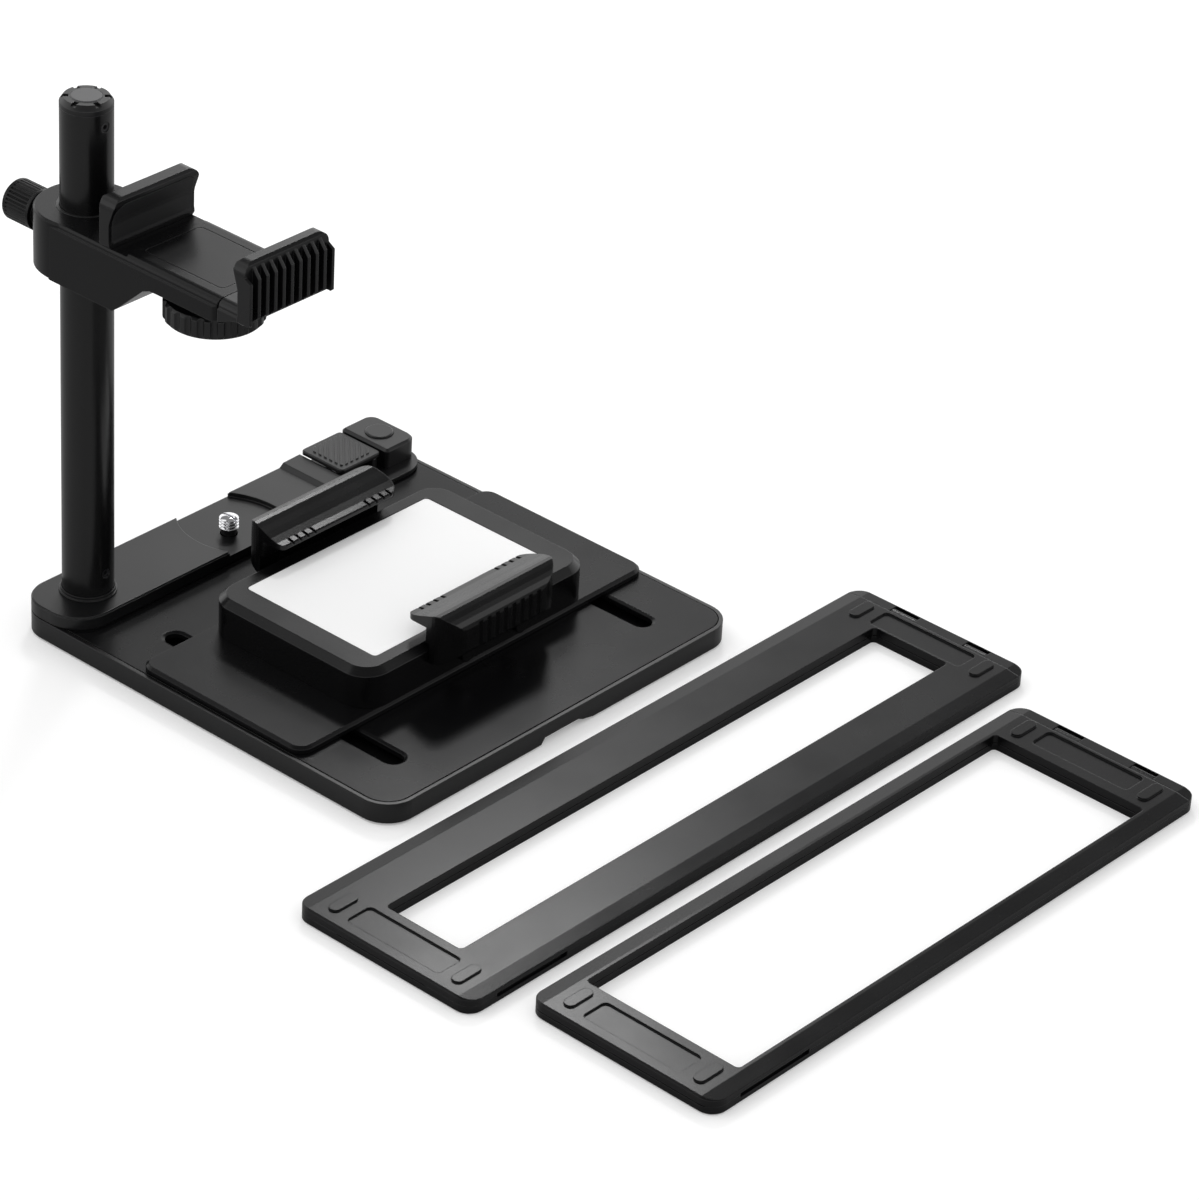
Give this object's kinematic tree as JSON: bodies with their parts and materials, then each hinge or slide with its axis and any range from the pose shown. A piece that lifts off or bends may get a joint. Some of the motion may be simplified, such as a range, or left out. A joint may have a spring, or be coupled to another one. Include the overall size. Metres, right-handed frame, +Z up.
{
  "type": "film digitizing adapter",
  "caption": "Phone-based film scanning stand: sliding light panel with sprung film guides on a slotted base, swinging phone clamp on a column, and hinged film holders.",
  "frame": {"origin": "centre of the base's underside, on the table", "axes": "+Z up along the column, +X along the back rail away from the column, +Y from the front of the base to the rail"},
  "size_m": [0.2498, 0.3307, 0.1782],
  "materials": {
    "charcoal_plastic": "fine-grained charcoal moulded plastic",
    "black_anodised": "satin black anodised",
    "steel": "plain steel",
    "chrome_stud": "polished",
    "black_rubber": "matte",
    "white_diffuser": "translucent white, satin",
    "grey_plastic": "mid grey",
    "ivory_plastic": "natural bearing plastic",
    "green_board": "solder mask",
    "led_yellow": "phosphor",
    "battery_wrap": "foil wrap",
    "brass": "turned"
  },
  "bodies": {
    "base": {"base_tray": "charcoal_plastic", "weight_plate": "steel", "top_cover": "charcoal_plastic", "cover_screws": "steel", "rubber_feet": "black_rubber", "back_rail": "charcoal_plastic", "rail_screws": "steel", "column": "black_anodised", "column_plug": "steel", "column_foot": "charcoal_plastic", "column_cap": "charcoal_plastic", "cap_disc": "grey_plastic", "column_bolt": "steel", "column_set_screws": "steel", "accessory_stud": "chrome_stud", "end_block": "charcoal_plastic", "block_disc": "charcoal_plastic", "pad_pin": "steel", "pad_spring": "steel"},
    "press_pad": {"press_pad": "charcoal_plastic"},
    "light_panel": {"slide_plate": "charcoal_plastic", "slot_shoes": "ivory_plastic", "shoe_screws": "steel", "light_case": "charcoal_plastic", "light_back": "charcoal_plastic", "diffuser": "white_diffuser", "led_board": "green_board", "led_chips": "led_yellow", "battery": "battery_wrap", "usb_port": "steel", "case_screws": "steel", "power_switch": "steel"},
    "power_button": {"power_button": "charcoal_plastic"},
    "front_guide": {"front_guide": "charcoal_plastic", "front_guide_rods": "steel", "front_guide_springs": "steel"},
    "back_guide": {"back_guide": "charcoal_plastic", "back_guide_rods": "steel", "back_guide_springs": "steel"},
    "column_bush": {"column_bush": "ivory_plastic"},
    "phone_arm": {"arm": "charcoal_plastic", "arm_cover": "charcoal_plastic", "fixed_jaw": "charcoal_plastic", "fixed_jaw_pad": "black_rubber", "jaw_screws": "steel", "clamp_shoe": "brass"},
    "side_knob": {"side_knob": "black_anodised"},
    "jaw_knob": {"jaw_knob": "charcoal_plastic", "pinion": "steel"},
    "front_jaw": {"front_jaw": "charcoal_plastic", "rack": "steel", "front_jaw_pad": "black_rubber"},
    "narrow_holder": {"narrow_holder": "charcoal_plastic", "narrow_pins": "steel"},
    "narrow_lid": {"narrow_lid": "charcoal_plastic"},
    "wide_holder": {"wide_holder": "charcoal_plastic", "wide_pins": "steel"},
    "wide_lid": {"wide_lid": "charcoal_plastic"}
  },
  "joints": [
    {"name": "press_pad_hinge", "type": "hinge", "parent": "base", "child": "press_pad", "pos_m": [0.0603, 0.0688, 0.0131], "axis": [0, -1, 0], "range_deg": [0, 8], "stiffness_Nm_per_rad": 0.05, "springref_deg": -5.73},
    {"name": "panel_slide", "type": "slide", "parent": "base", "child": "light_panel", "axis": [0, 1, 0], "range_m": [-0.033, 0.0085]},
    {"name": "power_button_press", "type": "slide", "parent": "light_panel", "child": "power_button", "axis": [-1, 0, 0], "range_m": [0, 0.0008], "stiffness_N_per_m": 400, "springref_m": -0.001},
    {"name": "front_guide_slide", "type": "slide", "parent": "light_panel", "child": "front_guide", "axis": [0, -1, 0], "range_m": [0, 0.006], "stiffness_N_per_m": 150, "springref_m": -0.004},
    {"name": "back_guide_slide", "type": "slide", "parent": "light_panel", "child": "back_guide", "axis": [0, 1, 0], "range_m": [0, 0.006], "stiffness_N_per_m": 150, "springref_m": -0.004},
    {"name": "arm_height", "type": "slide", "parent": "base", "child": "column_bush", "axis": [0, 0, 1], "range_m": [-0.09, 0.03]},
    {"name": "arm_swing", "type": "hinge", "parent": "column_bush", "child": "phone_arm", "pos_m": [-0.0598, 0.0658, 0.1336], "axis": [0, 0, 1], "range_deg": [-90, 60]},
    {"name": "side_knob_turn", "type": "hinge", "parent": "phone_arm", "child": "side_knob", "pos_m": [-0.0598, 0.085, 0.1339], "axis": [0, 1, 0], "range_deg": [0, 360]},
    {"name": "jaw_knob_turn", "type": "hinge", "parent": "phone_arm", "child": "jaw_knob", "pos_m": [-0.0594, 0.013, 0.13], "axis": [0, 0, 1], "range_deg": [0, 334.2]},
    {"name": "front_jaw_slide", "type": "slide", "parent": "phone_arm", "child": "front_jaw", "axis": [0, -1, 0], "range_m": [0, 0.028]},
    {"name": "narrow_holder_lift", "type": "slide", "parent": "base", "child": "narrow_holder", "axis": [0, 0, 1], "range_m": [0, 0.06]},
    {"name": "narrow_lid_hinge", "type": "hinge", "parent": "narrow_holder", "child": "narrow_lid", "pos_m": [0.11994, -0.12373, 0.00365], "axis": [0.0042, 1, 0], "range_deg": [0, 90]},
    {"name": "wide_holder_lift", "type": "slide", "parent": "base", "child": "wide_holder", "axis": [0, 0, 1], "range_m": [0, 0.06]},
    {"name": "wide_lid_hinge", "type": "hinge", "parent": "wide_holder", "child": "wide_lid", "pos_m": [0.10189, -0.20097, 0.00365], "axis": [0.0089, 1, 0], "range_deg": [0, 90]}
  ],
  "couplings": [
    {"joint": "front_jaw_slide", "follows": "jaw_knob_turn", "m_per_rad": 0.0048}
  ]
}
